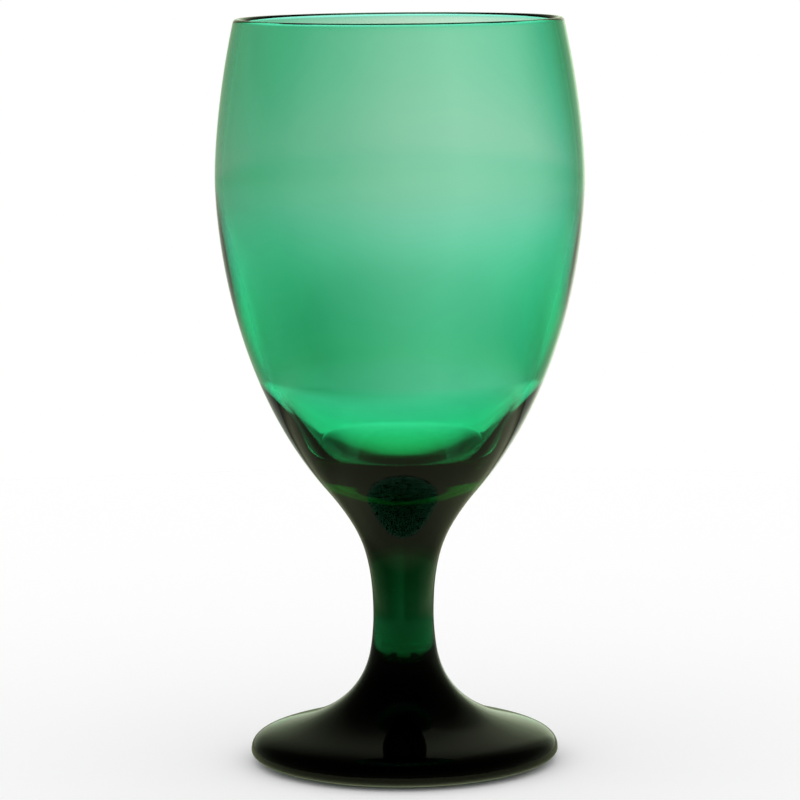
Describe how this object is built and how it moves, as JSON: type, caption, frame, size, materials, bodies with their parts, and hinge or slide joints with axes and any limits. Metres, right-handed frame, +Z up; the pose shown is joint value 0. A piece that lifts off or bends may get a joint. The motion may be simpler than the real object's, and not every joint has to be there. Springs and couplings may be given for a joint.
{
  "type": "water goblet",
  "caption": "Green glass water goblet: a tall rounded bowl with a slightly drawn-in lip and a thick solid base, on a short waisted stem and a round foot.",
  "frame": {"origin": "centre of the foot, on the surface that the goblet stands on", "axes": "+Z up along the stem to the lip; the goblet is turned about it, so +X and +Y are alike"},
  "size_m": [0.0908, 0.0906, 0.184],
  "materials": {
    "bowl_glass": "clear green blown glass, fire-polished, thin in the wall and thicker towards the bottom",
    "stem_glass": "the same clear green glass, solid, so it looks dark bottle green",
    "foot_glass": "the same clear green glass, cast thick, so it looks nearly black from the side"
  },
  "bodies": {
    "root": {"bowl": "bowl_glass", "stem": "stem_glass", "foot": "foot_glass"}
  },
  "joints": []
}
